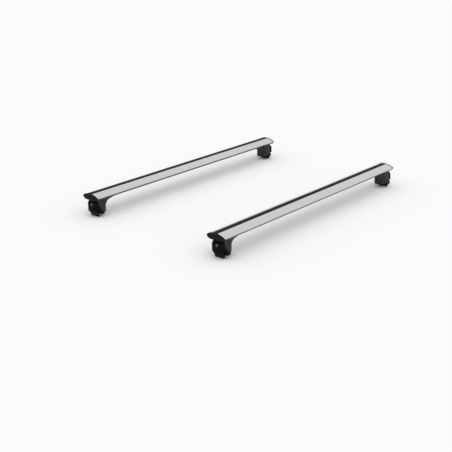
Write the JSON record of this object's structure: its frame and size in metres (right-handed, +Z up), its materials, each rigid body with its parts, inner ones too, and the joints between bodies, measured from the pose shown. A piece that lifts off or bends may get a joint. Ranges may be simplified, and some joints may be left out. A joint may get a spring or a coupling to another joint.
{
  "type": "pair of roof crossbars",
  "caption": "Pair of wing-section roof crossbars on clamp feet with ribbed top strips, pull-off lockable covers and screw-drawn claws for gripping roof rails.",
  "frame": {"origin": "middle of the pair, at the level of the lowest point of the claws", "axes": "+X along the bars to the right-hand end seen from behind, +Y from the rear bar to the front bar, +Z up"},
  "size_m": [1.164, 0.7575, 0.0976],
  "materials": {
    "bar": "satin silver anodised",
    "strip": "ribbed black rubber",
    "under_strip": "smooth black rubber",
    "end_cap": "fine-grained black moulding",
    "foot_body": "grained dark grey moulding",
    "cover": "satin black moulding",
    "pad": "black rubber",
    "claw": "black powder-coated steel",
    "fastener": "zinc plated",
    "lock_case": "dark coated die casting",
    "lock": "satin chrome"
  },
  "bodies": {
    "bars": {"front_bar": "bar", "front_top_strip": "strip", "front_under_strip": "under_strip", "front_end_cap_left": "end_cap", "front_end_cap_right": "end_cap", "front_tee_screws": "fastener", "front_clamp_nuts": "fastener", "rear_bar": "bar", "rear_top_strip": "strip", "rear_under_strip": "under_strip", "rear_end_cap_left": "end_cap", "rear_end_cap_right": "end_cap", "rear_tee_screws": "fastener", "rear_clamp_nuts": "fastener", "front_left_foot_body": "foot_body", "front_left_rail_pad": "pad", "front_left_tee_plate": "fastener", "front_right_foot_body": "foot_body", "front_right_rail_pad": "pad", "front_right_tee_plate": "fastener", "rear_left_foot_body": "foot_body", "rear_left_rail_pad": "pad", "rear_left_tee_plate": "fastener", "rear_right_foot_body": "foot_body", "rear_right_rail_pad": "pad", "rear_right_tee_plate": "fastener"},
    "front_left_cover": {"front_left_cover": "cover", "front_left_lock_sleeve": "lock_case"},
    "front_left_lock": {"front_left_lock_cylinder": "lock", "front_left_lock_cam": "fastener"},
    "front_left_claw": {"front_left_claw": "claw", "front_left_claw_liner": "pad", "front_left_clamp_washer": "fastener"},
    "front_left_screw": {"front_left_clamp_screw": "fastener"},
    "front_right_cover": {"front_right_cover": "cover", "front_right_lock_sleeve": "lock_case"},
    "front_right_lock": {"front_right_lock_cylinder": "lock", "front_right_lock_cam": "fastener"},
    "front_right_claw": {"front_right_claw": "claw", "front_right_claw_liner": "pad", "front_right_clamp_washer": "fastener"},
    "front_right_screw": {"front_right_clamp_screw": "fastener"},
    "rear_left_cover": {"rear_left_cover": "cover", "rear_left_lock_sleeve": "lock_case"},
    "rear_left_lock": {"rear_left_lock_cylinder": "lock", "rear_left_lock_cam": "fastener"},
    "rear_left_claw": {"rear_left_claw": "claw", "rear_left_claw_liner": "pad", "rear_left_clamp_washer": "fastener"},
    "rear_left_screw": {"rear_left_clamp_screw": "fastener"},
    "rear_right_cover": {"rear_right_cover": "cover", "rear_right_lock_sleeve": "lock_case"},
    "rear_right_lock": {"rear_right_lock_cylinder": "lock", "rear_right_lock_cam": "fastener"},
    "rear_right_claw": {"rear_right_claw": "claw", "rear_right_claw_liner": "pad", "rear_right_clamp_washer": "fastener"},
    "rear_right_screw": {"rear_right_clamp_screw": "fastener"}
  },
  "joints": [
    {"name": "front_left_cover_slide", "type": "slide", "parent": "bars", "child": "front_left_cover", "axis": [-1, 0, 0], "range_m": [0, 0.03]},
    {"name": "front_left_lock_turn", "type": "hinge", "parent": "front_left_cover", "child": "front_left_lock", "pos_m": [-0.57463, 0.333, 0.0525], "axis": [-0.875, 0, 0.4841], "range_deg": [0, 90]},
    {"name": "front_left_claw_slide", "type": "slide", "parent": "bars", "child": "front_left_claw", "axis": [-1, 0, 0], "range_m": [0, 0.006]},
    {"name": "front_left_screw_turn", "type": "hinge", "parent": "front_left_claw", "child": "front_left_screw", "pos_m": [-0.5636, 0.333, 0.027], "axis": [-1, 0, 0], "range_deg": [0, 2160]},
    {"name": "front_right_cover_slide", "type": "slide", "parent": "bars", "child": "front_right_cover", "axis": [1, 0, 0], "range_m": [0, 0.03]},
    {"name": "front_right_lock_turn", "type": "hinge", "parent": "front_right_cover", "child": "front_right_lock", "pos_m": [0.57463, 0.333, 0.0525], "axis": [0.875, 0, 0.4841], "range_deg": [-90, 0]},
    {"name": "front_right_claw_slide", "type": "slide", "parent": "bars", "child": "front_right_claw", "axis": [1, 0, 0], "range_m": [0, 0.006]},
    {"name": "front_right_screw_turn", "type": "hinge", "parent": "front_right_claw", "child": "front_right_screw", "pos_m": [0.5636, 0.333, 0.027], "axis": [1, 0, 0], "range_deg": [0, 2160]},
    {"name": "rear_left_cover_slide", "type": "slide", "parent": "bars", "child": "rear_left_cover", "axis": [-1, 0, 0], "range_m": [0, 0.03]},
    {"name": "rear_left_lock_turn", "type": "hinge", "parent": "rear_left_cover", "child": "rear_left_lock", "pos_m": [-0.57463, -0.342, 0.0525], "axis": [-0.875, 0, 0.4841], "range_deg": [0, 90]},
    {"name": "rear_left_claw_slide", "type": "slide", "parent": "bars", "child": "rear_left_claw", "axis": [-1, 0, 0], "range_m": [0, 0.006]},
    {"name": "rear_left_screw_turn", "type": "hinge", "parent": "rear_left_claw", "child": "rear_left_screw", "pos_m": [-0.5636, -0.342, 0.027], "axis": [-1, 0, 0], "range_deg": [0, 2160]},
    {"name": "rear_right_cover_slide", "type": "slide", "parent": "bars", "child": "rear_right_cover", "axis": [1, 0, 0], "range_m": [0, 0.03]},
    {"name": "rear_right_lock_turn", "type": "hinge", "parent": "rear_right_cover", "child": "rear_right_lock", "pos_m": [0.57463, -0.342, 0.0525], "axis": [0.875, 0, 0.4841], "range_deg": [-90, 0]},
    {"name": "rear_right_claw_slide", "type": "slide", "parent": "bars", "child": "rear_right_claw", "axis": [1, 0, 0], "range_m": [0, 0.006]},
    {"name": "rear_right_screw_turn", "type": "hinge", "parent": "rear_right_claw", "child": "rear_right_screw", "pos_m": [0.5636, -0.342, 0.027], "axis": [1, 0, 0], "range_deg": [0, 2160]}
  ],
  "couplings": [
    {"joint": "front_left_screw_turn", "follows": "front_left_claw_slide", "rad_per_m": 6283.2},
    {"joint": "front_right_screw_turn", "follows": "front_right_claw_slide", "rad_per_m": 6283.2},
    {"joint": "rear_left_screw_turn", "follows": "rear_left_claw_slide", "rad_per_m": 6283.2},
    {"joint": "rear_right_screw_turn", "follows": "rear_right_claw_slide", "rad_per_m": 6283.2}
  ]
}
